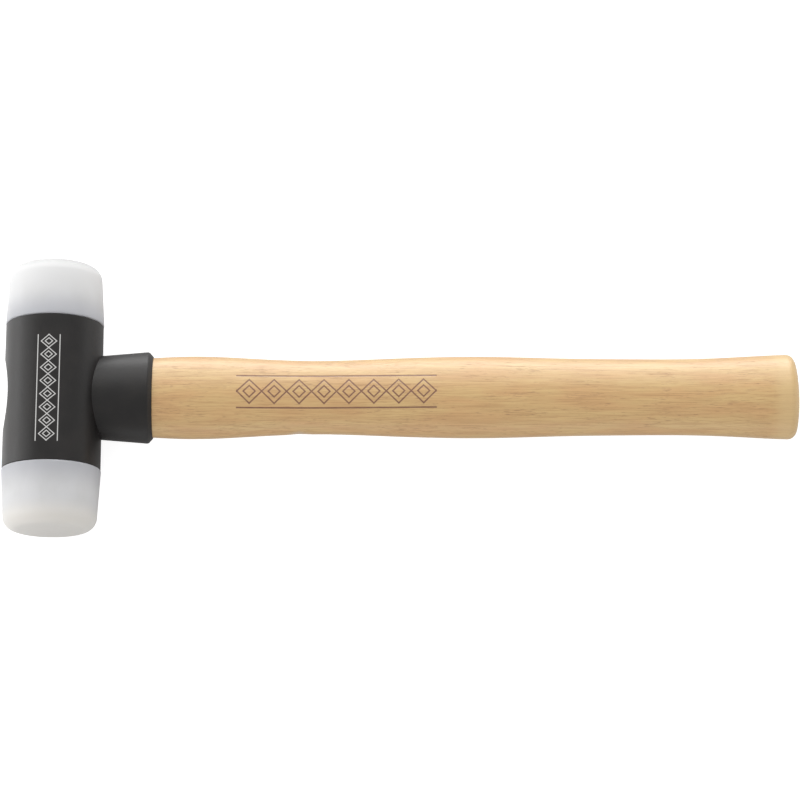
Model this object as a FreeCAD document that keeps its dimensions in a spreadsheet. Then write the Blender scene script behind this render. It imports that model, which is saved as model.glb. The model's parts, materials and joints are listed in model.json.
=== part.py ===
import FreeCAD, Part
import math
import os
import sys

import Sketcher

# A dead-blow soft-face hammer: a black tubular head with two white nylon faces that push into its
# ends, a loose charge of steel shot between them, and an oval wooden handle wedged in a sleeve that
# runs through the head. All lengths are in millimetres.
#
# Each piece is drawn in the head's own frame: the head's axis is Y, the handle's axis is X, and the
# two cross at the origin. At the end the whole hammer is laid on its side, on head and butt, with
# the middle of its footprint at the origin and Z up.
#
# A size that ends in "share" is a fraction, and one that ends in "deg" an angle in degrees.

SIZES = {
    # Head housing, a steel tube
    "housing_dia": 37.0,
    "housing_length": 56.4,
    "bore_wall": 3.0,
    "socket_wall": 2.3,
    "edge_break": 0.25,
    "scoop_depth": 2.4,
    "scoop_radius": 48.0,
    # Nylon faces
    "face_height": 23.1,
    "face_overhang": 0.2,
    "face_taper": 1.35,
    "face_corner": 5.0,
    "face_rim_round": 0.6,
    "spigot_depth": 6.8,
    "spigot_chamfer": 0.8,
    "spigot_play": 0.06,
    "spigot_gap": 0.4,
    # Discs that close the shot chamber, and the snap rings that hold them
    "disc_thickness": 1.5,
    "disc_play": 0.1,
    "ring_thickness": 1.2,
    "ring_play": 0.1,
    "ring_width": 2.4,
    "groove_depth": 0.8,
    "ring_arc_deg": 318.0,
    "lug_dia": 4.6,
    "lug_hole_dia": 1.8,
    # Sleeve through the head, and its flared collar: the collar starts below the housing's outer
    # radius by its sink, and its seat and mouth stand out past that radius
    "sleeve_height": 21.0,
    "sleeve_thickness": 16.0,
    "sleeve_wall": 1.5,
    "sleeve_play": 0.05,
    "collar_sink": 8.5,
    "collar_root_height": 31.2,
    "collar_root_thickness": 19.5,
    "collar_stand": 19.5,
    "collar_height": 35.55,
    "collar_thickness": 23.6,
    "collar_wall": 2.4,
    "lip_length": 1.7,
    "lip_round": 1.2,
    "mouth_land": 0.35,
    "mouth_round": 0.4,
    "seat_stand": 1.5,
    # Handle: heights run along the head's axis, thicknesses across it
    "tenon_flare": 0.45,
    "wood_play": 0.05,
    "neck_height": 32.1,
    "neck_thickness": 20.2,
    "front_waist_height": 28.6,
    "front_waist_thickness": 18.4,
    "palm_height": 31.7,
    "palm_thickness": 20.8,
    "rear_waist_height": 29.7,
    "rear_waist_thickness": 19.8,
    "butt_height": 32.95,
    "butt_thickness": 22.6,
    "handle_reach": 283.3,
    "butt_back": 5.2,
    "butt_dome_radius": 230.0,
    "butt_round": 3.3,
    # Places along the grip, as shares of the way from the collar's mouth to the butt, and the
    # heights between two extremes, as shares of the way from the first to the second
    "neck_place_share": 0.06,
    "front_fall_place_share": 0.165,
    "front_fall_share": 0.56,
    "front_waist_place_share": 0.252,
    "front_rise_place_share": 0.372,
    "front_rise_share": 0.51,
    "palm_place_share": 0.53,
    "rear_fall_place_share": 0.64,
    "rear_fall_share": 0.64,
    "rear_waist_place_share": 0.76,
    "rear_rise_place_share": 0.885,
    "rear_rise_share": 0.16,
    # Wedges in the tenon
    "kerf_mouth": 2.6,
    "kerf_tip": 0.8,
    "kerf_depth": 22.0,
    "steel_wedge_mouth": 2.2,
    "steel_wedge_tip": 0.3,
    "steel_wedge_depth": 12.0,
    "steel_wedge_width": 9.0,
    "steel_wedge_spacing": 9.6,
    # Shot
    "shot_dia": 4.0,
    "shot_play": 0.05,
    "shot_travel": 1.5,
    "shot_level": 8.0,
    # Length by which a cut runs past what it cuts
    "overrun": 5.0,
}

# How often the tilt at rest is worked out, each time from the one before
REST_TRIES = 4

doc = FreeCAD.newDocument("hammer")
sheet = doc.addObject("Spreadsheet::Sheet", "sizes")
for row, (alias, number) in enumerate(SIZES.items(), 1):
    sheet.set(f"A{row}", alias)
    sheet.set(f"B{row}", str(number))
    sheet.setAlias(f"B{row}", alias)
doc.recompute()


class Size:
    """A length worked out from the sheet: its number, and the expression that keeps it driven."""

    def __init__(self, number, text):
        self.number = float(number)
        self.text = text

    def mix(self, other, sign, number, swap=False):
        left, right = (self.text, text_of(other))
        if swap:
            left, right = right, left
        return Size(number, f"({left} {sign} {right})")

    def __add__(self, other):
        return self.mix(other, "+", self.number + number_of(other))

    def __radd__(self, other):
        return self.mix(other, "+", number_of(other) + self.number, True)

    def __sub__(self, other):
        return self.mix(other, "-", self.number - number_of(other))

    def __rsub__(self, other):
        return self.mix(other, "-", number_of(other) - self.number, True)

    def __mul__(self, other):
        return self.mix(other, "*", self.number * number_of(other))

    def __rmul__(self, other):
        return self.mix(other, "*", number_of(other) * self.number, True)

    def __truediv__(self, other):
        return self.mix(other, "/", self.number / number_of(other))

    def __neg__(self):
        return Size(-self.number, f"(0 - {self.text})")


def number_of(value):
    return value.number if isinstance(value, Size) else float(value)


def text_of(value):
    return value.text if isinstance(value, Size) else repr(float(value))


def size(alias):
    return Size(getattr(sheet, alias), f"sizes.{alias}")


def drive(thing, prop, value):
    thing.setExpression(prop, text_of(value))


# Sizes that several pieces share

ZERO = Size(0, "0")
OVERRUN = size("overrun")
HEAD_R = size("housing_dia") / 2
HEAD_END = size("housing_length") / 2
RIM_R = HEAD_R + size("face_overhang")
BORE_R = HEAD_R - size("bore_wall")
SOCKET_R = HEAD_R - size("socket_wall")
SPIGOT_END = HEAD_END - size("spigot_depth")
GROOVE_END = SPIGOT_END - size("spigot_gap")
DISC_OUTER = GROOVE_END - size("ring_thickness") - size("ring_play")
CHAMBER_END = DISC_OUTER - size("disc_thickness")
GROOVE_R = SOCKET_R + size("groove_depth")
POLE = HEAD_R - size("scoop_depth")
COLLAR_ROOT = HEAD_R - size("collar_sink")
MOUTH = HEAD_R + size("collar_stand")
LIP = MOUTH - size("lip_length")
SEAT = HEAD_R + size("seat_stand")
BUTT = size("handle_reach") - size("butt_back")


# Drawing helpers


def new_body(name):
    body = doc.addObject("PartDesign::Body", name)
    body.Label = name
    return body


def plane_of(body, role):
    return next(f for f in body.Origin.OriginFeatures if f.Role == role)


def new_sketch(body, name, role, offset=None):
    sketch = body.newObject("Sketcher::SketchObject", name)
    sketch.AttachmentSupport = [(plane_of(body, role), "")]
    sketch.MapMode = "FlatFace"
    if offset is not None:
        drive(sketch, "AttachmentOffset.Base.z", offset)
    return sketch


def pin_point(sketch, geometry, point, x, y):
    """Drives one point of a sketch to (x, y)."""
    for kind, axis, value in (("DistanceX", -2, x), ("DistanceY", -1, y)):
        if value is ZERO:
            sketch.addConstraint(Sketcher.Constraint("PointOnObject", geometry, point, axis))
            continue
        limit = Sketcher.Constraint(kind, -1, 1, geometry, point, value.number)
        index = sketch.addConstraint(limit)
        drive(sketch, f"Constraints[{index}]", value)


def draw_outline(sketch, corners):
    """A closed outline of straight lines through driven corners."""
    first = sketch.GeometryCount
    count = len(corners)
    for i, (x, y) in enumerate(corners):
        end_x, end_y = corners[(i + 1) % count]
        start = FreeCAD.Vector(x.number, y.number)
        end = FreeCAD.Vector(end_x.number, end_y.number)
        sketch.addGeometry(Part.LineSegment(start, end), False)
    for i in range(count):
        meet = Sketcher.Constraint("Coincident", first + i, 2, first + (i + 1) % count, 1)
        sketch.addConstraint(meet)
    for i, (x, y) in enumerate(corners):
        pin_point(sketch, first + i, 1, x, y)


def draw_circle(sketch, x, y, radius):
    centre = FreeCAD.Vector(x.number, y.number)
    ring = sketch.addGeometry(Part.Circle(centre, FreeCAD.Vector(0, 0, 1), radius.number), False)
    pin_point(sketch, ring, 3, x, y)
    index = sketch.addConstraint(Sketcher.Constraint("Radius", ring, radius.number))
    drive(sketch, f"Constraints[{index}]", radius)


def draw_oval(sketch, height, thickness):
    """An ellipse round the sketch's origin, its height along the sketch's first axis."""
    half_height = height.number / 2
    half_thickness = thickness.number / 2
    ends = (FreeCAD.Vector(half_height, 0), FreeCAD.Vector(0, half_thickness))
    oval = sketch.addGeometry(Part.Ellipse(*ends, FreeCAD.Vector(0, 0)), False)
    sketch.exposeInternalGeometry(oval)
    long_axis, short_axis = oval + 1, oval + 2
    sketch.addConstraint(Sketcher.Constraint("Coincident", oval, 3, -1, 1))
    sketch.addConstraint(Sketcher.Constraint("Horizontal", long_axis))
    for line, value in ((long_axis, height), (short_axis, thickness)):
        index = sketch.addConstraint(Sketcher.Constraint("Distance", line, value.number))
        drive(sketch, f"Constraints[{index}]", value)


def oval_sketch(body, name, place, height, thickness):
    sketch = new_sketch(body, name, "YZ_Plane", place)
    draw_oval(sketch, height, thickness)
    return sketch


def add_feature(body, kind, name, sketch, **settings):
    """A feature made from a sketch. Settings that are sizes are driven, and the rest are set."""
    feature = body.newObject(kind, name)
    feature.Profile = sketch
    for prop, value in settings.items():
        if isinstance(value, Size):
            drive(feature, prop, value)
        else:
            setattr(feature, prop, value)
    body.Tip = feature
    doc.recompute()
    return feature


def revolve(body, name, sketch, kind="PartDesign::Revolution", axis="V_Axis", turn=None):
    settings = {"ReferenceAxis": (sketch, [axis])}
    if turn is not None:
        settings.update(Angle=turn, Midplane=True)
    return add_feature(body, kind, name, sketch, **settings)


def cut_through(body, name, sketch):
    """A cut along the sketch's normal, right through on both sides."""
    return add_feature(body, "PartDesign::Pocket", name, sketch, Type="ThroughAll", Midplane=True)


def loft(body, name, sketches, kind="PartDesign::AdditiveLoft", ruled=True):
    return add_feature(body, kind, name, sketches[0], Sections=sketches[1:], Ruled=ruled)


def edges_where(feature, test):
    return [f"Edge{i}" for i, edge in enumerate(feature.Shape.Edges, 1) if test(edge)]


def dress(body, kind, name, prop, value, test):
    """A fillet or chamfer on those edges of the body's last feature that pass the test."""
    base = body.Tip
    feature = body.newObject(kind, name)
    feature.Base = (base, edges_where(base, test))
    drive(feature, prop, value)
    body.Tip = feature
    doc.recompute()
    return feature


def is_ring_at(y, radius):
    """A test for whole circles about the head's axis."""

    def test(edge):
        curve = edge.Curve
        if not isinstance(curve, Part.Circle):
            return False
        same_place = abs(curve.Center.y - y.number) < 1e-4
        return same_place and abs(curve.Radius - radius.number) < 1e-4

    return test


def cut_scoop(body):
    """The shallow scoop across the head's pole, opposite the handle."""
    radius = size("scoop_radius")
    sketch = new_sketch(body, body.Label + "_scoop_outline", "XY_Plane")
    draw_circle(sketch, -(POLE + radius), ZERO, radius)
    return cut_through(body, body.Label + "_scoop", sketch)


# Head


def make_housing():
    body = new_body("head_housing")
    wall = new_sketch(body, "housing_wall", "XY_Plane")
    upper = [
        (HEAD_R, HEAD_END),
        (SOCKET_R, HEAD_END),
        (SOCKET_R, GROOVE_END),
        (GROOVE_R, GROOVE_END),
        (GROOVE_R, DISC_OUTER),
        (SOCKET_R, DISC_OUTER),
        (SOCKET_R, CHAMBER_END),
        (BORE_R, CHAMBER_END),
    ]
    lower = [(x, -y) for x, y in reversed(upper)]
    draw_outline(wall, upper + lower)
    revolve(body, "housing_tube", wall)

    window = new_sketch(body, "sleeve_window_outline", "YZ_Plane")
    play = size("sleeve_play") * 2
    draw_oval(window, size("sleeve_height") + play, size("sleeve_thickness") + play)
    cut_through(body, "sleeve_window", window)
    cut_scoop(body)

    ends = [is_ring_at(side, HEAD_R) for side in (HEAD_END, -HEAD_END)]
    dress(
        body,
        "PartDesign::Chamfer",
        "housing_edges",
        "Size",
        size("edge_break"),
        lambda edge: any(test(edge) for test in ends),
    )
    return body


def make_face(name, side):
    """One nylon face: a tapered striking block with a spigot that pushes into the socket."""
    body = new_body(name)
    spigot_r = SOCKET_R - size("spigot_play")
    tip_r = RIM_R - size("face_taper")
    tip_y = (HEAD_END + size("face_height")) * side
    rim_y = HEAD_END * side
    outline = new_sketch(body, name + "_outline", "XY_Plane")
    corners = [
        (ZERO, tip_y),
        (tip_r, tip_y),
        (RIM_R, rim_y),
        (spigot_r, rim_y),
        (spigot_r, SPIGOT_END * side),
        (ZERO, SPIGOT_END * side),
    ]
    draw_outline(outline, corners)
    revolve(body, name + "_blank", outline)
    for label, kind, prop, value, y, radius in (
        ("_corner", "PartDesign::Fillet", "Radius", "face_corner", tip_y, tip_r),
        ("_rim", "PartDesign::Fillet", "Radius", "face_rim_round", rim_y, RIM_R),
        ("_lead", "PartDesign::Chamfer", "Size", "spigot_chamfer", SPIGOT_END * side, spigot_r),
    ):
        dress(body, kind, name + label, prop, size(value), is_ring_at(y, radius))
    return body


def make_disc(name, side):
    """A steel disc that closes one end of the shot chamber."""
    body = new_body(name)
    radius = SOCKET_R - size("disc_play")
    outline = new_sketch(body, name + "_outline", "XY_Plane")
    inner, outer = CHAMBER_END * side, DISC_OUTER * side
    draw_outline(outline, [(ZERO, inner), (radius, inner), (radius, outer), (ZERO, outer)])
    revolve(body, name + "_blank", outline)
    edge = is_ring_at(outer, radius)
    dress(body, "PartDesign::Chamfer", name + "_edge", "Size", size("edge_break"), edge)
    return body


def make_retaining_ring(name, side):
    """An open snap ring in the groove, with an eyed lug at each end for pliers."""
    body = new_body(name)
    outer_r = GROOVE_R - size("ring_play")
    inner_r = outer_r - size("ring_width")
    near, far = DISC_OUTER * side, (DISC_OUTER + size("ring_thickness")) * side
    outline = new_sketch(body, name + "_section", "XY_Plane")
    draw_outline(outline, [(inner_r, near), (outer_r, near), (outer_r, far), (inner_r, far)])
    revolve(body, name + "_arc", outline, turn=size("ring_arc_deg"))

    # The lugs' own plane has its normal along -Y, so a pad grows from its higher side to its lower.
    high_side = far if side > 0 else near
    lug_r = size("lug_dia") / 2
    reach = SOCKET_R - size("ring_play") - lug_r
    half_turn = size("ring_arc_deg") / 2
    angle = math.radians(half_turn.number)
    x = Size(reach.number * math.cos(angle), f"({reach.text} * cos({half_turn.text} * 1deg))")
    z = Size(reach.number * math.sin(angle), f"({reach.text} * sin({half_turn.text} * 1deg))")
    lugs = new_sketch(body, name + "_lug_outline", "XZ_Plane", -high_side)
    eyes = new_sketch(body, name + "_eye_outline", "XZ_Plane", -high_side)
    for sketch, radius in ((lugs, lug_r), (eyes, size("lug_hole_dia") / 2)):
        draw_circle(sketch, x, z, radius)
        draw_circle(sketch, x, -z, radius)
    thickness = size("ring_thickness")
    add_feature(body, "PartDesign::Pad", name + "_lugs", lugs, Length=thickness)
    cut_through(body, name + "_eyes", eyes)
    return body


def collar_half(where, which):
    """Half the collar's height or thickness at a place along the handle, between root and lip."""
    root, lip = size(f"collar_root_{which}") / 2, size(f"collar_{which}") / 2
    return root + (lip - root) * ((where - COLLAR_ROOT) / (LIP - COLLAR_ROOT))


def seat_oval(where, play):
    """Height and thickness of the wood's seat inside the collar."""
    shrink = size("collar_wall") + play
    return [(collar_half(where, which) - shrink) * 2 for which in ("height", "thickness")]


def tenon_ovals(play):
    """Height and thickness of the eye at the shoulder and at the pole, where it flares."""
    inset = (size("sleeve_wall") + play) * 2
    tight = [size("sleeve_height") - inset, size("sleeve_thickness") - inset]
    wide = [value + size("tenon_flare") * 2 for value in tight]
    return tight, wide


def add_tenon(body, prefix, play, start, end, kind="PartDesign::AdditiveLoft"):
    tight, wide = tenon_ovals(play)
    root = oval_sketch(body, prefix + "_shoulder", start, *tight)
    tip = oval_sketch(body, prefix + "_pole", end, *wide)
    return loft(body, prefix + "_taper", [root, tip], kind)


def make_sleeve():
    """The sleeve through the head: a flared collar outside, and an oval tube to the pole."""
    body = new_body("handle_sleeve")
    mouth_inside = seat_oval(MOUTH, ZERO)
    mouth_outside = [value + size("mouth_land") * 2 for value in mouth_inside]
    sections = [
        oval_sketch(
            body,
            "collar_root_oval",
            COLLAR_ROOT,
            size("collar_root_height"),
            size("collar_root_thickness"),
        ),
        oval_sketch(body, "collar_lip_oval", LIP, size("collar_height"), size("collar_thickness")),
        oval_sketch(body, "collar_mouth_oval", MOUTH, *mouth_outside),
    ]
    loft(body, "collar_flare", sections)

    saddle = new_sketch(body, "collar_saddle_outline", "XZ_Plane")
    draw_circle(saddle, ZERO, ZERO, HEAD_R + size("sleeve_play"))
    cut_through(body, "collar_saddle", saddle)

    tube = new_sketch(body, "sleeve_tube_outline", "YZ_Plane", -HEAD_R)
    draw_oval(tube, size("sleeve_height"), size("sleeve_thickness"))
    length = HEAD_R + SEAT
    add_feature(body, "PartDesign::Pad", "sleeve_tube", tube, Length=length)
    cut_scoop(body)

    seat = [
        oval_sketch(body, "seat_bottom_oval", SEAT, *seat_oval(SEAT, ZERO)),
        oval_sketch(body, "seat_mouth_oval", MOUTH, *mouth_inside),
    ]
    loft(body, "seat", seat, "PartDesign::SubtractiveLoft")
    add_tenon(body, "eye", ZERO, SEAT, -HEAD_R, "PartDesign::SubtractiveLoft")

    def is_outer_edge_at(place):
        """A test for the collar's outer edge at a place along the handle."""

        def test(edge):
            box = edge.BoundBox
            outer = box.YLength > mouth_outside[0].number - 1e-3
            return outer and max(abs(x - place.number) for x in (box.XMin, box.XMax)) < 1e-3

        return test

    for name, value, place in (("mouth", "mouth_round", MOUTH), ("lip", "lip_round", LIP)):
        edge = is_outer_edge_at(place)
        dress(body, "PartDesign::Fillet", name + "_edge", "Radius", size(value), edge)
    return body


# Handle


def grip_stations():
    """Places along the grip with the oval's height and thickness there, from collar to butt."""
    run = BUTT - MOUTH
    play = size("wood_play")
    named = {
        part: (size(part + "_height"), size(part + "_thickness"))
        for part in ("neck", "front_waist", "palm", "rear_waist", "butt")
    }

    def place(share):
        return MOUTH + run * size(share + "_place_share")

    def between(first, second, share):
        pairs = zip(named[first], named[second])
        return [one + (two - one) * size(share + "_share") for one, two in pairs]

    return [
        (MOUTH, seat_oval(MOUTH, play)),
        (place("neck"), named["neck"]),
        (place("front_fall"), between("neck", "front_waist", "front_fall")),
        (place("front_waist"), named["front_waist"]),
        (place("front_rise"), between("front_waist", "palm", "front_rise")),
        (place("palm"), named["palm"]),
        (place("rear_fall"), between("palm", "rear_waist", "rear_fall")),
        (place("rear_waist"), named["rear_waist"]),
        (place("rear_rise"), between("rear_waist", "butt", "rear_rise")),
        (BUTT, named["butt"]),
        (size("handle_reach") + OVERRUN, named["butt"]),
    ]


def kerf_taper():
    """Half the kerf's width at its tip, and past its mouth, and where along the handle these are."""
    mouth, tip = size("kerf_mouth") / 2, size("kerf_tip") / 2
    spread = mouth + (mouth - tip) * OVERRUN / size("kerf_depth")
    return tip, size("kerf_depth") - POLE, spread, -(POLE + OVERRUN)


def cut_kerf(body, prefix):
    """The tapered saw cut across the tenon's end, which the wooden wedge fills."""
    tip, tip_x, spread, start_x = kerf_taper()
    outline = new_sketch(body, prefix + "_kerf_outline", "XZ_Plane")
    draw_outline(outline, [(start_x, -spread), (tip_x, -tip), (tip_x, tip), (start_x, spread)])
    return cut_through(body, prefix + "_kerf", outline)


def steel_wedge_corners(side):
    """The tapered outline of one steel wedge, seen along the kerf's own width."""
    middle = size("steel_wedge_spacing") / 2 * side
    mouth, tip = size("steel_wedge_mouth") / 2, size("steel_wedge_tip") / 2
    tip_x = size("steel_wedge_depth") - POLE
    return [
        (-POLE, middle - mouth),
        (tip_x, middle - tip),
        (tip_x, middle + tip),
        (-POLE, middle + mouth),
    ]


def cut_steel_wedges(body, prefix):
    """The two slits that the steel wedges are driven into."""
    for label, side in (("upper", 1), ("lower", -1)):
        slit = new_sketch(body, f"{prefix}_{label}_slit_outline", "XY_Plane")
        draw_outline(slit, steel_wedge_corners(side))
        width = size("steel_wedge_width")
        name = f"{prefix}_{label}_slit"
        add_feature(body, "PartDesign::Pocket", name, slit, Length=width, Midplane=True)


def trim_pole(body, prefix):
    """Cuts the tenon's end off square, flush with the bottom of the scoop."""
    outline = new_sketch(body, prefix + "_end_outline", "XY_Plane")
    far, wide = -(HEAD_R + OVERRUN), size("sleeve_height")
    draw_outline(outline, [(far, -wide), (-POLE, -wide), (-POLE, wide), (far, wide)])
    return cut_through(body, prefix + "_end", outline)


def dome_butt(body):
    """Turns the butt's end to a shallow dome and rounds its rim."""
    dome_r, reach = size("butt_dome_radius"), size("handle_reach")
    far, half = reach + OVERRUN * 2, size("butt_height")
    centre = reach - dome_r
    turn = math.asin(half.number / dome_r.number)
    start = FreeCAD.Vector(centre.number + dome_r.number * math.cos(turn), half.number)
    corners = [
        start,
        FreeCAD.Vector(far.number, half.number),
        FreeCAD.Vector(far.number, 0),
        FreeCAD.Vector(reach.number, 0),
    ]
    outside = new_sketch(body, "butt_dome_outline", "XY_Plane")
    middle = FreeCAD.Vector(centre.number, 0)
    circle = Part.Circle(middle, FreeCAD.Vector(0, 0, 1), dome_r.number)
    chain = [outside.addGeometry(Part.ArcOfCircle(circle, 0, turn), False)]
    for first, second in zip(corners, corners[1:]):
        chain.append(outside.addGeometry(Part.LineSegment(first, second), False))
    for first, second in zip(chain, chain[1:] + chain[:1]):
        outside.addConstraint(Sketcher.Constraint("Coincident", first, 2, second, 1))
    arc, top, back, axis = chain
    pin_point(outside, arc, 3, centre, ZERO)
    pin_point(outside, arc, 1, reach, ZERO)
    pin_point(outside, back, 1, far, half)
    pin_point(outside, axis, 1, far, ZERO)
    outside.addConstraint(Sketcher.Constraint("Horizontal", top))
    revolve(body, "butt_dome", outside, "PartDesign::Groove", "H_Axis")

    def is_rim(edge):
        box = edge.BoundBox
        return box.XMin > BUTT.number and box.YLength > half.number / 2

    dress(body, "PartDesign::Fillet", "butt_rim", "Radius", size("butt_round"), is_rim)


def make_handle():
    body = new_body("handle")
    play = size("wood_play")
    stations = [
        oval_sketch(body, f"grip_oval_{i}", place, *oval)
        for i, (place, oval) in enumerate(grip_stations())
    ]
    loft(body, "grip", stations, ruled=False)
    shank = [
        oval_sketch(body, "shank_mouth_oval", MOUTH, *seat_oval(MOUTH, play)),
        oval_sketch(body, "shank_bottom_oval", SEAT, *seat_oval(SEAT, play)),
    ]
    loft(body, "shank", shank)
    add_tenon(body, "tenon", play, SEAT, -HEAD_R)
    trim_pole(body, "tenon")
    dome_butt(body)
    cut_kerf(body, "handle")
    cut_steel_wedges(body, "handle")
    return body


def make_wooden_wedge():
    """The wedge that spreads the tenon: what the kerf took out, as a piece of its own."""
    body = new_body("wooden_wedge")
    tip, tip_x, spread, start_x = kerf_taper()
    add_tenon(body, "wedge", size("wood_play"), tip_x, -HEAD_R)
    trim_pole(body, "wedge")
    past_tip, clear = tip_x + OVERRUN, size("sleeve_thickness")
    for label, side in (("front", 1), ("back", -1)):
        waste = new_sketch(body, f"wedge_{label}_outline", "XZ_Plane")
        corners = [
            (start_x, spread * side),
            (tip_x, tip * side),
            (past_tip, tip * side),
            (past_tip, clear * side),
            (start_x, clear * side),
        ]
        draw_outline(waste, corners)
        cut_through(body, f"wedge_{label}", waste)
    cut_steel_wedges(body, "wedge")
    return body


def make_steel_wedge(name, side):
    body = new_body(name)
    outline = new_sketch(body, name + "_outline", "XY_Plane")
    draw_outline(outline, steel_wedge_corners(side))
    width = size("steel_wedge_width")
    add_feature(body, "PartDesign::Pad", name + "_plate", outline, Length=width, Midplane=True)
    return body


# Shot


def shot_centres():
    """Close-packed places for the balls, lying in the chamber's lower half round the sleeve."""
    ball_r = size("shot_dia").number / 2
    play = size("shot_play").number
    travel = size("shot_travel").number
    pitch = 2 * ball_r + play
    row, layer = pitch * math.sqrt(3) / 2, pitch * math.sqrt(2 / 3)
    bore = BORE_R.number - ball_r - play
    reach = CHAMBER_END.number - ball_r - play - travel
    oval_y = size("sleeve_height").number / 2 + ball_r + 2 * play
    oval_z = size("sleeve_thickness").number / 2 + ball_r + 2 * play
    rows = range(-math.ceil(bore / row), math.ceil(bore / row) + 1)
    columns = range(-math.ceil(reach / pitch) - 1, math.ceil(reach / pitch) + 2)
    centres = []
    z, level = -bore, 0
    while z <= size("shot_level").number:
        for i in rows:
            # Every second layer sits in the hollows of the one below it.
            x = row * (i + (1 / 3 if level % 2 else 0))
            shift = pitch / 2 * ((i + level) % 2)
            for j in columns:
                y = pitch * j + shift
                nearest = max(abs(y) - travel, 0) / oval_y
                clear_of_sleeve = nearest**2 + (z / oval_z) ** 2 > 1
                if math.hypot(x, z) <= bore + 1e-9 and abs(y) <= reach and clear_of_sleeve:
                    centres.append(FreeCAD.Vector(x, y, z))
        z, level = z + layer, level + 1
    return centres


def make_shot():
    radius = size("shot_dia").number / 2
    balls = [Part.makeSphere(radius, centre) for centre in shot_centres()]
    shot = doc.addObject("Part::Feature", "steel_shot")
    shot.Label = "steel_shot"
    shot.Shape = Part.makeCompound(balls)
    return shot


def rim_crown():
    """The faces' outermost radius, on the round of their rims."""
    round_r = size("face_rim_round").number
    slope = math.atan2(size("face_taper").number, size("face_height").number)
    return RIM_R.number - round_r * (math.tan(slope) + 1 / math.cos(slope) - 1)


def resting_place(handle):
    """Lays the hammer on its side: faces and butt on the ground, its middle over the origin."""
    head_r = rim_crown()
    tilt = 0
    for _ in range(REST_TRIES):
        turn = FreeCAD.Rotation(FreeCAD.Vector(0, 1, 0), math.degrees(tilt))
        turned = handle.Shape.transformed(FreeCAD.Placement(FreeCAD.Vector(), turn).toMatrix())
        box = turned.optimalBoundingBox(False)
        tilt += (box.ZMin + head_r) / BUTT.number
    return FreeCAD.Placement(FreeCAD.Vector((head_r - box.XMax) / 2, 0, head_r), turn)


def make_all():
    handle = make_handle()
    parts = [make_housing(), make_sleeve(), handle, make_wooden_wedge()]
    for label, side in (("upper", 1), ("lower", -1)):
        parts.append(make_face(label + "_face", side))
        parts.append(make_disc(label + "_chamber_disc", side))
        parts.append(make_retaining_ring(label + "_retaining_ring", side))
        parts.append(make_steel_wedge(label + "_steel_wedge", side))
    parts.append(make_shot())
    place = resting_place(handle)
    for part in parts:
        part.Placement = place
    doc.recompute()
    return parts


def check(parts):
    """Stops before anything is written if an object failed or a shape isn't sound."""
    failed = [o.Name for o in doc.Objects if {"Invalid", "Error"} & set(o.State)]
    for part in parts:
        shape = part.Shape
        if shape.isNull() or not shape.isValid() or not shape.Solids:
            failed.append(part.Label)
    if failed:
        sys.exit(f"failed: {failed}")


def write(parts):
    os.makedirs("parts", exist_ok=True)
    for part in parts:
        part.Shape.exportStep(f"parts/{part.Label}.step")
        solids = part.Shape.Solids
        volume = sum(solid.Volume for solid in solids)
        print(f"{part.Label}: {len(solids)} solids, {volume:.1f} mm3")


parts = make_all()
check(parts)
write(parts)
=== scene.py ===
import json
from math import hypot, radians

import bpy
from mathutils import Matrix, Vector


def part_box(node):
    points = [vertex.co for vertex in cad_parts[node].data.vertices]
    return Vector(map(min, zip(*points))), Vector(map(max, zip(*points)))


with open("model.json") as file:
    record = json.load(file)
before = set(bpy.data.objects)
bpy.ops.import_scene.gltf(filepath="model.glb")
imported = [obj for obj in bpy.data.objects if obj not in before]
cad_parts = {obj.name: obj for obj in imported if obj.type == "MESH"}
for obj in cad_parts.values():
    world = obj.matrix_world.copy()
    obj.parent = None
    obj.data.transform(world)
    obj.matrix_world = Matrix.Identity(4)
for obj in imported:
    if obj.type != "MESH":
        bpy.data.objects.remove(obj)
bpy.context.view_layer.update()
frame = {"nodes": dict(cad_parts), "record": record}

# A dead-blow soft-face hammer on a white studio floor. All its pieces come from the frame. This
# script gives them their finish, and adds the camera, the lights and the floor.
#
# Places and sizes on the hammer are in millimetres in its head's own frame: the handle's axis is x,
# the head's axis is y, z points away from the floor, and all three meet in the middle of the head.
# Places and sizes in the scene are in metres. A span is a pair of values between which something
# sets in, from the value where there is none of it to the one where it is full.

MM = 0.001

# Camera, fitted to the photograph: its angles, and where it sees the middle of the head
CAMERA_LENS_MM = 110.955
CAMERA_SENSOR_MM = 36.0
CAMERA_PITCH_DEG = 14.74742
CAMERA_ROLL_DEG = -0.456904
HEAD_IN_VIEW = Vector((-0.1317492, 0.00076944, -0.9366128))

# Floor: for the camera, its glow and the light on it add up to white. In mirrors its glow is the
# first of a pair, and grows to the second over a span to the head's left and one behind it: a
# painted pool of light that only mirrors see
FLOOR_SIZE = 6.0
FLOOR_ALBEDO = 0.6
FLOOR_GLOW = 0.80
FLOOR_GLOW_MIRRORED = (0.10, 0.80)
FLOOR_LEFT_X = (0.0, -30.0)
FLOOR_BACK_Y = (60.0, 120.0)

# Sky: its strength for the camera, in mirrors, and as a light
SKY_WHITE = 1.0
SKY_MIRRORED = 0.5
SKY_LIGHT = 0.78

# Softboxes: where each stands, its width and height, and its power in watts
SOFTBOXES = {
    "left": ((-1.15, 0.00, 0.15), (1.0, 0.28), 2.65),
    "left_high": ((-1.00, 0.00, 0.60), (0.9, 0.50), 1.8),
    "back": ((-0.02, 1.08, 0.20), (1.3, 0.38), 7.6),
    "back_high": ((-0.02, 0.85, 0.80), (1.3, 0.50), 3.25),
    "front": ((0.00, -1.10, 0.22), (1.4, 0.44), 1.1),
    "right": ((1.20, 0.00, 0.24), (1.0, 0.48), 0.45),
}

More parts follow.
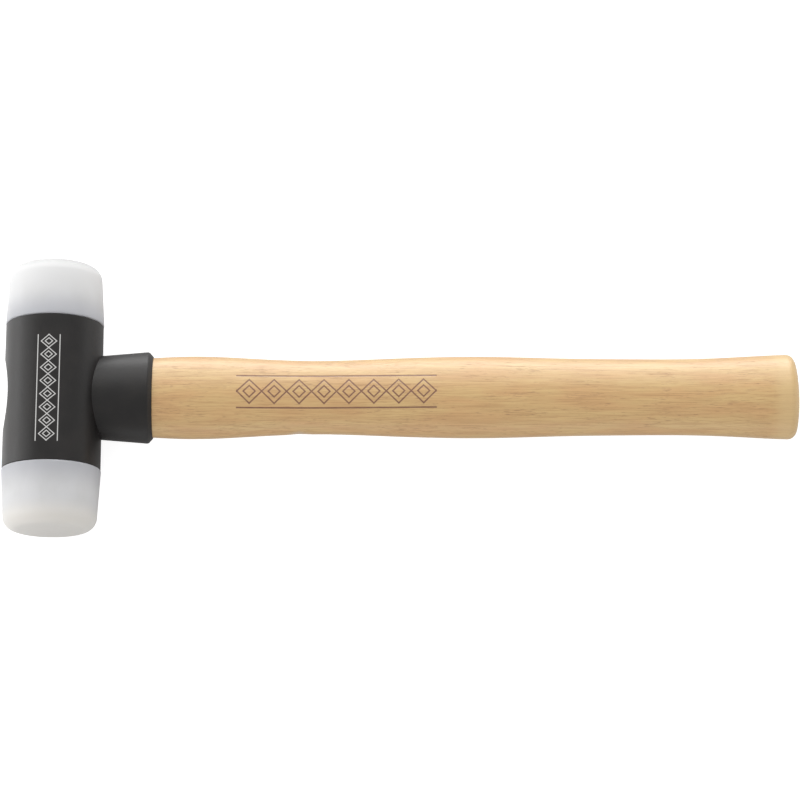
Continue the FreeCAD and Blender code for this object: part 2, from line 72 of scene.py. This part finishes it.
# Colours, from 0 to 255
COAT = (16, 13, 12)
COAT_WORN = (25, 21, 19)
PRINT = (205, 204, 202)
STEEL = (176, 176, 178)
STEEL_DULL = (150, 148, 146)
SPRING = (74, 74, 78)
SPRING_DULL = (58, 56, 58)
SHOT = (158, 158, 160)
SHOT_DULL = (126, 124, 122)
NYLON = (207, 207, 208)
NYLON_CLOUD = (202, 202, 202)
# Painted shade on the nylon next to the head's tube
NYLON_SEAM_SHADE = (177, 178, 183)
# Painted light, a little yellow: the lower tip is lighter
NYLON_LOWER_TIP_LIGHT = (217, 214, 209)
# Painted light: the upper tip is lighter
NYLON_UPPER_TIP_LIGHT = (218, 218, 218)
NYLON_STRUCK = (184, 184, 184)
WOOD_PALE = (212, 177, 111)
WOOD_WARM = (208, 161, 99)
WOOD_STREAK = (178, 131, 70)
WOOD_PORE = (134, 80, 26)
# Painted highlight on the butt's rim
WOOD_RIM_HIGHLIGHT = (211, 178, 118)
WEDGE_PALE = (216, 178, 130)
WEDGE_WARM = (200, 158, 112)
BURN = (114, 58, 0)

# Roughness of each finish, from its smoothest to its roughest spots
COAT_ROUGHNESS = (0.39, 0.47)
TURNED_ROUGHNESS = (0.26, 0.44)
SHOT_ROUGHNESS = (0.24, 0.42)
NYLON_ROUGHNESS = (0.36, 0.48)
WOOD_ROUGHNESS = (0.42, 0.56)

# Gloss: how strongly each finish mirrors, and the oil on the handle
COAT_SPECULAR = 0.56
NYLON_SPECULAR = 0.30
WEDGE_SPECULAR = 0.35
HANDLE_SPECULAR = 1.0
OIL_IOR = 1.65
OIL_SHEEN = 0.35
OIL_SHEEN_ROUGHNESS = 0.4

# Depths of the bumps
COAT_BUMP = 0.012
TURNED_BUMP = 0.012
SHOT_BUMP = 0.02
NYLON_BUMP = 0.01
HANDLE_BUMP = 0.035
WEDGE_BUMP = 0.05

# Spans of the noises: of blotches in one noise, and of the sum of two noises
BLOTCH_SPAN = (0.35, 0.7)
TWO_NOISES_SPAN = (0.7, 1.3)

# Coat: its grain, its drift of tone, and how much of the print covers it
COAT_GRAIN_CELL = 0.22
COAT_DRIFT_CELL = 9.0
PRINT_SHARE = 0.94

# Sockets in the head's ends: their radius, the rim past it where the coat begins, and how much
# smoother than the coat their bare metal is
SOCKET_R = 16.2
SOCKET_RIM = 0.12
SOCKET_SMOOTHER = 0.12

# Turned metal: its lathe lines, which change out from the axis and along it, and its stains
LATHE_CELL = 0.16
STAIN_CELL = 5.0

# Shot: its stains and dents
SHOT_STAIN_CELL = 1.6
SHOT_DENT_CELL = 0.45
DENT_SPAN = (0.3, 0.7)

# Nylon: its clouds, its skin, where it is rubbed, and how far light reaches into it
CLOUD_CELL = (7.0, 11.0, 7.0)
CLOUD_SPAN = (0.3, 0.75)
SKIN_CELL = 0.35
RUB_CELL = (2.2, 1.0, 2.2)
LIGHT_REACH = (5.0, 4.9, 4.8)

# Where along the head the nylon's tint changes: out of the painted shade at its seams, into the
# painted light, a little yellow, at its lower tip, into the painted light at its upper tip, and
# onto that tip's flat, which is scuffed by blows
NYLON_SEAM_SHADE_Y = (26.0, 40.0)
NYLON_LOWER_TIP_LIGHT_Y = (-41.0, -50.0)
NYLON_UPPER_TIP_LIGHT_Y = (32.0, 47.0)
NYLON_STRUCK_Y = (47.0, 50.5)

# Growth rings: where the pith is, square to the handle's axis, the rings' pitch, how far they
# wander, how much they lean along the handle, and how the late wood comes and goes in each
PITH = (0.0, -74.0, -22.0)
RING_PITCH = 2.7
RING_WANDER = 1.6
RING_WANDER_CELL = (70.0, 16.0, 16.0)
RING_LEAN = 0.012
LATE_RISE_SPAN = (0.0, 0.85)
LATE_FALL_SPAN = (1.0, 0.9)
LATE_SHARE = 0.13

# Marks in the wood, with how much they tint it: slow patches of tone, long bands, fine fibres, and
# pores, which are short flecks that come in crowds
PATCH_CELL = (24.0, 5.0, 5.0)
PATCH_SPAN = (0.32, 0.68)
PATCH_SHARES = (0.1, 0.9)
BAND_CELL = (60.0, 1.5, 1.5)
BAND_SPAN = (0.45, 0.75)
BAND_SHARE = 0.25
FIBRE_CELL = (17.0, 0.40, 0.40)
FIBRE_SPAN = (0.42, 0.74)
FIBRE_SHARE = 0.92
FLECK_CELL = (3.4, 0.28, 0.28)
CROWD_CELL = (15.0, 3.2, 3.2)
CROWD_WEIGHT = 0.45
PORE_SPAN = (0.83, 0.98)
PORE_SHARE = 0.52

# The wood's relief, as a share of its bumps, and the span of fibre and pore that roughens it
RELIEF_SHARE = 0.4
GRAIN_ROUGH_SPAN = (0.3, 1.2)

# The butt's rim, paler with a painted highlight: where along the handle, how far that wanders, and
# how much
RIM_HIGHLIGHT_X = (273.0, 279.0)
RIM_HIGHLIGHT_WANDER = 3.0
RIM_HIGHLIGHT_WANDER_CELL = 4.0
RIM_HIGHLIGHT_SHARE = 0.65

# The wedge's piece of wood is this far from the handle's in the grain
WEDGE_FROM_HANDLE = (40.0, 3.0, 9.0)

# Borders of lozenges: the burnt one along the handle, and the printed one along the head. A stroke's
# span is in shares of its line's width, and the inner lozenge is this share of the outer one
BURNT_BORDER = {"start": 70.0, "pitch": 9.4, "count": 8, "half": 4.6, "line": 0.50, "rail": 6.2}
PRINTED_BORDER = {"start": -21.0, "pitch": 5.1, "count": 8, "half": 2.9, "line": 0.30, "rail": 4.1}
STROKE_SHARES = (0.75, 0.35)
INNER_SHARE = 0.48

# The burn: its uneven heat, how dark that makes it, and its groove, in depths of the wood's bumps
HEAT_CELL = (3.0, 1.2, 1.2)
HEAT_SPAN = (0.3, 0.7)
BURNT_SHARES = (0.86, 1.0)
BURNT_GROOVE = 1.5


def linear(colour):
    """A colour from 0 to 255 as the linear one that shaders take."""
    shares = [value / 255 for value in colour]
    return [s / 12.92 if s <= 0.04045 else ((s + 0.055) / 1.055) ** 2.4 for s in shares] + [1.0]


def middle(node):
    """The middle of a node's box."""
    low, high = (Vector(corner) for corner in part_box(node))
    return (low + high) / 2


HEAD = middle("head_housing")


def handle_tilt():
    """How far the handle dips from the head to the grip, in radians."""
    grip = next(mount for mount in frame["record"]["mounts"] if mount["name"] == "grip")
    reach = Vector(grip["pos_m"]) - HEAD
    return Vector((reach.x, 0, reach.z)).angle(Vector((1, 0, 0)))


# Shaders


class Shader:
    """The node tree of a material or world, with a short call for each kind of node it uses."""

    def __init__(self, owner):
        owner.use_nodes = True
        self.owner = owner
        self.tree = owner.node_tree

    def plug(self, socket, value):
        """Links a socket to another one, or gives it a plain value."""
        if isinstance(value, bpy.types.NodeSocket):
            self.tree.links.new(value, socket)
        else:
            socket.default_value = value

    def node(self, kind, inputs, output=0, **settings):
        node = self.tree.nodes.new(kind)
        for name, value in settings.items():
            setattr(node, name, value)
        for key, value in inputs.items():
            self.plug(node.inputs[key], value)
        return node.outputs[output]

    def math(self, operation, *values):
        return self.node("ShaderNodeMath", dict(enumerate(values)), operation=operation)

    def vector_math(self, operation, *values, output=0):
        inputs = dict(enumerate(values))
        return self.node("ShaderNodeVectorMath", inputs, output, operation=operation)

    def split(self, vector):
        """The outputs X, Y and Z of a vector."""
        node = self.tree.nodes.new("ShaderNodeSeparateXYZ")
        self.plug(node.inputs[0], vector)
        return node.outputs

    def mix(self, share, first, second):
        """The first colour where the share is 0, and the second where it is 1."""
        node = self.tree.nodes.new("ShaderNodeMix")
        node.data_type = "RGBA"
        sockets = {socket.name: socket for socket in node.inputs if socket.enabled}
        for name, value in {"Factor": share, "A": first, "B": second}.items():
            self.plug(sockets[name], value)
        return next(socket for socket in node.outputs if socket.enabled)

    def ease(self, value, low, high, to_low=0.0, to_high=1.0):
        """A smooth step from to_low, where the value is low, to to_high, where it is high."""
        inputs = dict(enumerate((value, low, high, to_low, to_high)))
        return self.node("ShaderNodeMapRange", inputs, interpolation_type="SMOOTHSTEP")

    def noise(self, where, cell, detail=2.0, roughness=0.5):
        """Noise with cells of about this size, in the units of the place that it is given."""
        if not isinstance(cell, tuple):
            cell = (cell,) * 3
        scaled = self.vector_math("DIVIDE", where, cell)
        inputs = {"Vector": scaled, "Scale": 1.0, "Detail": detail, "Roughness": roughness}
        return self.node("ShaderNodeTexNoise", inputs)

    def blotches(self, noise, first, second, span=BLOTCH_SPAN):
        """One colour with blotches of another."""
        return self.mix(self.ease(noise, *span), linear(first), linear(second))

    def roughness(self, first, second, limits):
        """A roughness that goes from one limit to the other with the sum of two noises."""
        return self.ease(self.math("ADD", first, second), *TWO_NOISES_SPAN, *limits)

    def bump(self, height, depth, normal=None):
        """Bumps of this depth in millimetres where the height goes from 0 to 1."""
        inputs = {"Height": height, "Distance": depth * MM, "Strength": 1.0}
        if normal is not None:
            inputs["Normal"] = normal
        return self.node("ShaderNodeBump", inputs)

    def place(self):
        """Where the point is, in millimetres in the head's own frame."""
        here = self.node("ShaderNodeTexCoord", {}, "Object")
        moved = self.vector_math("SUBTRACT", here, HEAD)
        inputs = {"Vector": moved, "Angle": -handle_tilt()}
        turned = self.node("ShaderNodeVectorRotate", inputs, rotation_type="Y_AXIS")
        return self.vector_math("DIVIDE", turned, (MM,) * 3)

    def length(self, vector, axes):
        """How long a vector is, counting only the axes that are 1."""
        counted = self.vector_math("MULTIPLY", vector, axes)
        return self.vector_math("LENGTH", counted, output="Value")

    def from_head_axis(self, where):
        """How far the point is from the head's axis, in millimetres."""
        return self.length(where, (1, 0, 1))

    def finish(self, **inputs):
        """Sets the surface's inputs, with _ for each space in a name, and gives the material."""
        surface = self.tree.nodes["Principled BSDF"].inputs
        for name, value in inputs.items():
            self.plug(surface[name.replace("_", " ")], value)
        return self.owner


def lozenge_border(shader, along, across, border):
    """Where a border of nested lozenges between two rails has its lines, from 0 to 1."""
    half, line, rail = border["half"], border["line"], border["rail"]
    half_pitch = border["pitch"] / 2
    half_run = border["pitch"] * border["count"] / 2
    run = shader.math("SUBTRACT", along, border["start"])
    wave = shader.math("PINGPONG", shader.math("ADD", run, half_pitch), half_pitch)
    side = shader.math("ABSOLUTE", across)
    lengthwise = shader.math("DIVIDE", wave, half_pitch)
    crosswise = shader.math("DIVIDE", side, half)
    lozenge = shader.math("ADD", lengthwise, crosswise)
    lozenge_size = half * half_pitch / hypot(half, half_pitch)

    def stroke(value, target, size):
        """A line where the value, which grows by 1 over this size, is at the target."""
        off = shader.math("ABSOLUTE", shader.math("SUBTRACT", value, target))
        mirrored_light_pool = shader.math("MULTIPLY", off, size)
        return shader.ease(mirrored_light_pool, *(share * line for share in STROKE_SHARES))

    outer = stroke(lozenge, 1.0, lozenge_size)
    inner = stroke(lozenge, INNER_SHARE, lozenge_size)
    rails = stroke(side, rail, 1.0)
    lines = shader.math("MAXIMUM", shader.math("MAXIMUM", outer, inner), rails)
    from_middle = shader.math("ABSOLUTE", shader.math("SUBTRACT", run, half_run))
    inside = shader.math("LESS_THAN", from_middle, half_run + line / 2)
    near = shader.math("LESS_THAN", side, rail + line)
    return shader.math("MULTIPLY", lines, shader.math("MULTIPLY", inside, near))


def turned_metal(shader, where, bright, dull):
    """The look of metal turned about the head's axis: its colour, roughness and bumps."""
    lathe = shader.node(
        "ShaderNodeCombineXYZ", {0: shader.from_head_axis(where), 1: shader.split(where)["Y"]}
    )
    lines = shader.noise(lathe, LATHE_CELL, detail=3.0, roughness=0.7)
    stain = shader.noise(where, STAIN_CELL, detail=3.0)
    colour = shader.blotches(stain, bright, dull)
    roughness = shader.roughness(lines, stain, TURNED_ROUGHNESS)
    return colour, roughness, shader.bump(lines, TURNED_BUMP)


def make_coat():
    """Satin black powder coat, bare metal in the sockets, and a printed border on the head."""
    shader = Shader(bpy.data.materials.new("satin_black_coat"))
    where = shader.place()
    x, y, z = shader.split(where)
    grain = shader.noise(where, COAT_GRAIN_CELL, roughness=0.6)
    drift = shader.noise(where, COAT_DRIFT_CELL, detail=3.0)
    coat = shader.blotches(drift, COAT, COAT_WORN)

    lines = lozenge_border(shader, y, x, PRINTED_BORDER)
    printed = shader.math("MULTIPLY", lines, shader.math("GREATER_THAN", z, SOCKET_R))
    coated = shader.mix(shader.math("MULTIPLY", printed, PRINT_SHARE), coat, linear(PRINT))

    metal, _, metal_bump = turned_metal(shader, where, STEEL, STEEL_DULL)
    coat_edge = (SOCKET_R + SOCKET_RIM * 2, SOCKET_R + SOCKET_RIM)
    bare = shader.ease(shader.from_head_axis(where), *coat_edge)
    smoother = shader.math("MULTIPLY", bare, -SOCKET_SMOOTHER)
    return shader.finish(
        Base_Color=shader.mix(bare, coated, metal),
        Metallic=bare,
        Roughness=shader.math("ADD", shader.roughness(grain, drift, COAT_ROUGHNESS), smoother),
        Specular_IOR_Level=COAT_SPECULAR,
        Normal=shader.bump(grain, COAT_BUMP, metal_bump),
    )


def make_nylon():
    """White nylon: cloudy, a little translucent, painted shade greyer at the tube, painted light at
    the tips, yellower at the lower one.
    """
    shader = Shader(bpy.data.materials.new("white_nylon"))
    where = shader.place()
    y = shader.split(where)["Y"]
    skin = shader.noise(where, SKIN_CELL, roughness=0.55)
    rub = shader.noise(where, RUB_CELL, detail=3.0)
    cloud = shader.noise(where, CLOUD_CELL, detail=3.0)
    clouded = shader.blotches(cloud, NYLON, NYLON_CLOUD, CLOUD_SPAN)
    # Painted shade: the nylon is greyer next to its seams with the head
    past_seam_shade = shader.ease(shader.math("ABSOLUTE", y), *NYLON_SEAM_SHADE_Y)
    colour = shader.mix(past_seam_shade, linear(NYLON_SEAM_SHADE), clouded)
    # Tips: painted light at the upper one, its scuffed flat, and painted light, a little yellow, at
    # the lower one
    tips = (
        (NYLON_UPPER_TIP_LIGHT_Y, NYLON_UPPER_TIP_LIGHT),
        (NYLON_STRUCK_Y, NYLON_STRUCK),
        (NYLON_LOWER_TIP_LIGHT_Y, NYLON_LOWER_TIP_LIGHT),
    )
    for span, tint in tips:
        colour = shader.mix(shader.ease(y, *span), colour, linear(tint))
    return shader.finish(
        Base_Color=colour,
        Roughness=shader.roughness(skin, rub, NYLON_ROUGHNESS),
        Subsurface_Weight=1.0,
        Subsurface_Radius=[reach * MM for reach in LIGHT_REACH],
        Subsurface_Scale=1.0,
        Specular_IOR_Level=NYLON_SPECULAR,
        Normal=shader.bump(skin, NYLON_BUMP),
    )


def late_wood(shader, where):
    """Where the growth rings have their darker late wood, from 0 to 1."""
    from_pith = shader.length(shader.vector_math("SUBTRACT", where, PITH), (0, 1, 1))
    lean = shader.math("MULTIPLY", shader.split(where)["X"], RING_LEAN)
    wander = shader.math("MULTIPLY", shader.noise(where, RING_WANDER_CELL), RING_WANDER)
    bent = shader.math("ADD", shader.math("ADD", from_pith, lean), wander)
    ring = shader.math("FRACT", shader.math("DIVIDE", bent, RING_PITCH))
    rise = shader.ease(ring, *LATE_RISE_SPAN)
    fall = shader.ease(ring, *LATE_FALL_SPAN)
    return shader.math("MULTIPLY", rise, fall)


def wood_grain(shader, where, pale, warm):
    """Growth rings, fibres and pores along the handle: the wood's colour, roughness and relief."""
    patch = shader.noise(where, PATCH_CELL, detail=3.0)
    band = shader.noise(where, BAND_CELL)
    fibre = shader.noise(where, FIBRE_CELL, detail=4.0, roughness=0.65)
    fleck = shader.noise(where, FLECK_CELL)
    crowd = shader.math("MULTIPLY", shader.noise(where, CROWD_CELL), CROWD_WEIGHT)
    pore = shader.ease(shader.math("ADD", fleck, crowd), *PORE_SPAN)

    patched = shader.ease(patch, *PATCH_SPAN, *PATCH_SHARES)
    colour = shader.mix(patched, linear(pale), linear(warm))
    marks = (
        (shader.math("MULTIPLY", late_wood(shader, where), LATE_SHARE), WOOD_STREAK),
        (shader.ease(band, *BAND_SPAN, 0.0, BAND_SHARE), WOOD_STREAK),
        (shader.ease(fibre, *FIBRE_SPAN, 0.0, FIBRE_SHARE), WOOD_STREAK),
        (shader.math("MULTIPLY", pore, PORE_SHARE), WOOD_PORE),
    )
    for share, tint in marks:
        colour = shader.mix(share, colour, linear(tint))
    relief = shader.math("MULTIPLY", shader.math("SUBTRACT", fibre, pore), RELIEF_SHARE)
    coarse = shader.math("ADD", fibre, pore)
    return colour, shader.ease(coarse, *GRAIN_ROUGH_SPAN, *WOOD_ROUGHNESS), relief


def make_handle_wood():
    """Oiled hardwood, paler with a painted highlight at the butt's rim, with a burnt border on the
    side that shows.
    """
    shader = Shader(bpy.data.materials.new("oiled_hardwood"))
    where = shader.place()
    x, y, z = shader.split(where)
    grained, roughness, relief = wood_grain(shader, where, WOOD_PALE, WOOD_WARM)
    # Painted highlight: the butt's rim is paler
    wander = shader.math("MULTIPLY", shader.noise(where, RIM_HIGHLIGHT_WANDER_CELL), RIM_HIGHLIGHT_WANDER)
    rim_highlight = shader.ease(shader.math("ADD", x, wander), *RIM_HIGHLIGHT_X, 0.0, RIM_HIGHLIGHT_SHARE)
    bare = shader.mix(rim_highlight, grained, linear(WOOD_RIM_HIGHLIGHT))

    lines = lozenge_border(shader, x, y, BURNT_BORDER)
    burnt = shader.math("MULTIPLY", lines, shader.math("GREATER_THAN", z, 0.0))
    heat = shader.noise(where, HEAT_CELL)
    dark = shader.math("MULTIPLY", burnt, shader.ease(heat, *HEAT_SPAN, *BURNT_SHARES))
    groove = shader.math("MULTIPLY", burnt, BURNT_GROOVE)
    return shader.finish(
        Base_Color=shader.mix(dark, bare, linear(BURN)),
        Roughness=roughness,
        IOR=OIL_IOR,
        Specular_IOR_Level=HANDLE_SPECULAR,
        Sheen_Weight=OIL_SHEEN,
        Sheen_Roughness=OIL_SHEEN_ROUGHNESS,
        Normal=shader.bump(shader.math("SUBTRACT", relief, groove), HANDLE_BUMP),
    )


def make_wedge_wood():
    """Bare hardwood, from another place in the grain than the handle's."""
    shader = Shader(bpy.data.materials.new("wedge_hardwood"))
    where = shader.vector_math("ADD", shader.place(), WEDGE_FROM_HANDLE)
    colour, roughness, relief = wood_grain(shader, where, WEDGE_PALE, WEDGE_WARM)
    return shader.finish(
        Base_Color=colour,
        Roughness=roughness,
        Specular_IOR_Level=WEDGE_SPECULAR,
        Normal=shader.bump(relief, WEDGE_BUMP),
    )


def make_turned_steel(name, bright, dull):
    """Steel turned about the head's axis."""
    shader = Shader(bpy.data.materials.new(name))
    colour, roughness, normal = turned_metal(shader, shader.place(), bright, dull)
    return shader.finish(Base_Color=colour, Metallic=1.0, Roughness=roughness, Normal=normal)


def make_shot_steel():
    """Steel balls, dulled by rubbing on each other."""
    shader = Shader(bpy.data.materials.new("rubbed_shot"))
    where = shader.place()
    stain = shader.noise(where, SHOT_STAIN_CELL, detail=3.0)
    dents = shader.noise(where, SHOT_DENT_CELL)
    return shader.finish(
        Base_Color=shader.blotches(stain, SHOT, SHOT_DULL),
        Metallic=1.0,
        Roughness=shader.ease(dents, *DENT_SPAN, *SHOT_ROUGHNESS),
        Normal=shader.bump(dents, SHOT_BUMP),
    )


def dress_nodes():
    """Gives each node of the frame the finish of its material slot."""
    finishes = {
        "black_coat": make_coat(),
        "handle_wood": make_handle_wood(),
        "wedge_wood": make_wedge_wood(),
        "bare_steel": make_turned_steel("turned_steel", STEEL, STEEL_DULL),
        "spring_steel": make_turned_steel("blackened_spring_steel", SPRING, SPRING_DULL),
        "shot_steel": make_shot_steel(),
        "nylon": make_nylon(),
    }
    for subpart in frame["record"]["subparts"]:
        node = frame["nodes"][subpart["node"]]
        for slot in node.material_slots:
            slot.material = finishes[subpart["material_slot"]]


# Stage


def ray_kinds(shader):
    """Two outputs: 1 for rays from the camera, and 1 for those that gloss or glass sends on."""
    path = shader.tree.nodes.new("ShaderNodeLightPath").outputs
    mirrored = shader.math("MAXIMUM", path["Is Glossy Ray"], path["Is Transmission Ray"])
    return path["Is Camera Ray"], mirrored


def make_floor_finish():
    """Matt white, with a glow that only the camera and mirrors see, and a painted pool of light in
    mirrors.
    """
    shader = Shader(bpy.data.materials.new("white_floor"))
    seen, mirrored = ray_kinds(shader)
    place = shader.split(shader.place())
    # Painted reflection: the floor glows more in mirrors to the head's left and behind it
    left = shader.ease(place["X"], *FLOOR_LEFT_X)
    behind = shader.ease(place["Y"], *FLOOR_BACK_Y)
    mirrored_light_pool = shader.math("MAXIMUM", left, behind)
    seen_glow = shader.math("MULTIPLY", seen, FLOOR_GLOW)
    mirrored_glow = shader.math(
        "MULTIPLY", mirrored, shader.ease(mirrored_light_pool, 0.0, 1.0, *FLOOR_GLOW_MIRRORED)
    )
    strength = shader.math("ADD", seen_glow, mirrored_glow)
    glow = shader.node("ShaderNodeEmission", {"Strength": strength})
    matt = shader.node("ShaderNodeBsdfDiffuse", {"Color": [FLOOR_ALBEDO] * 3 + [1.0]})
    both = shader.node("ShaderNodeAddShader", {0: glow, 1: matt})
    shader.plug(shader.tree.nodes["Material Output"].inputs["Surface"], both)
    shader.owner.cycles.emission_sampling = "NONE"
    return shader.owner


def make_floor():
    """A white floor that keeps the hammer's soft shadow."""
    half = FLOOR_SIZE / 2
    corners = [(-half, -half, 0), (half, -half, 0), (half, half, 0), (-half, half, 0)]
    mesh = bpy.data.meshes.new("floor")
    mesh.from_pydata(corners, [], [(0, 1, 2, 3)])
    mesh.materials.append(make_floor_finish())
    floor = bpy.data.objects.new("floor", mesh)
    bpy.context.scene.collection.objects.link(floor)


def make_sky():
    """A white studio, greyer in mirrors and as a light."""
    world = bpy.data.worlds.new("studio")
    shader = Shader(world)
    seen, mirrored = ray_kinds(shader)
    either = shader.math("MAXIMUM", seen, mirrored)
    shown = shader.math("MULTIPLY", seen, SKY_WHITE)
    glossed = shader.math("MULTIPLY", mirrored, SKY_MIRRORED)
    lit = shader.math("MULTIPLY", shader.math("SUBTRACT", 1.0, either), SKY_LIGHT)
    strength = shader.math("ADD", shader.math("ADD", shown, glossed), lit)
    background = shader.tree.nodes["Background"].inputs
    shader.plug(background["Color"], (1, 1, 1, 1))
    shader.plug(background["Strength"], strength)
    world.cycles.sampling_method = "NONE"
    bpy.context.scene.world = world


def add_softbox(name, spot, sides, power):
    """A rectangular lamp that faces the middle of the floor."""
    data = bpy.data.lights.new(name, "AREA")
    data.shape = "RECTANGLE"
    data.size, data.size_y = sides
    data.energy = power
    light = bpy.data.objects.new(name, data)
    facing = (-Vector(spot)).to_track_quat("-Z", "Y").to_matrix().to_4x4()
    light.matrix_world = Matrix.Translation(spot) @ facing
    bpy.context.scene.collection.objects.link(light)


def add_camera():
    """The camera, at the photograph's viewing angle."""
    data = bpy.data.cameras.new("camera")
    data.sensor_width = CAMERA_SENSOR_MM
    data.lens = CAMERA_LENS_MM
    camera = bpy.data.objects.new("camera", data)
    pitch = Matrix.Rotation(radians(CAMERA_PITCH_DEG), 3, "X")
    turn = pitch @ Matrix.Rotation(radians(CAMERA_ROLL_DEG), 3, "Z")
    camera.matrix_world = Matrix.Translation(HEAD - turn @ HEAD_IN_VIEW) @ turn.to_4x4()
    bpy.context.scene.collection.objects.link(camera)
    bpy.context.scene.camera = camera


bpy.context.scene.view_settings.view_transform = "Standard"
add_camera()
make_sky()
make_floor()
for name, (spot, sides, power) in SOFTBOXES.items():
    add_softbox(name, spot, sides, power)
dress_nodes()
